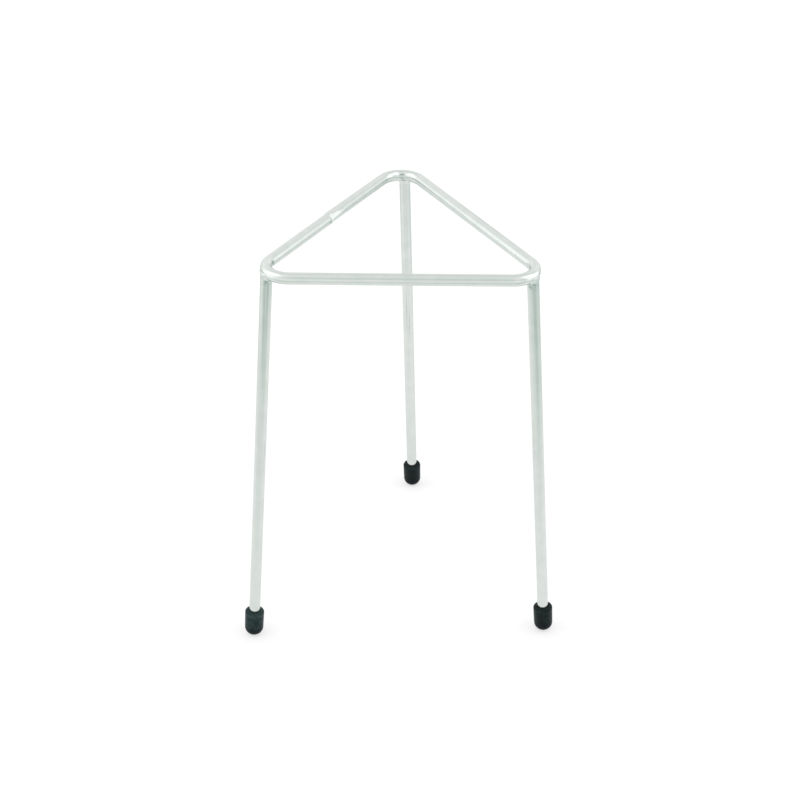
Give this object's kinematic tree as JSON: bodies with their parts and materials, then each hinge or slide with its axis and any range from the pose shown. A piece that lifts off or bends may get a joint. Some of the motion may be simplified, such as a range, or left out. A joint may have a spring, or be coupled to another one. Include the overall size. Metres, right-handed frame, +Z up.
{
  "type": "lab tripod stand",
  "caption": "Bright plated rod stand: a round-cornered triangular ring welded on splayed straight legs with black rubber feet.",
  "frame": {"origin": "on the bench, straight under the middle of the ring's triangle", "axes": "+Z up, from the bench to the ring; +Y from the middle towards the back bend, opposite the front bar; +X to the right when the front bar is nearest, so the butt weld is in the left side"},
  "size_m": [0.1726, 0.1539, 0.225],
  "materials": {
    "plated_rod": "bright plated, faintly drawn along the rod",
    "plated_weld": "plated over a dressed weld, slightly dull and pitted",
    "black_rubber": "smooth moulded, semi-matt"
  },
  "bodies": {
    "root": {"ring": "plated_rod", "ring_weld": "plated_weld", "leg_back": "plated_rod", "leg_left": "plated_rod", "leg_right": "plated_rod", "weld_back": "plated_weld", "weld_left": "plated_weld", "weld_right": "plated_weld", "foot_back": "black_rubber", "foot_left": "black_rubber", "foot_right": "black_rubber"}
  },
  "joints": []
}
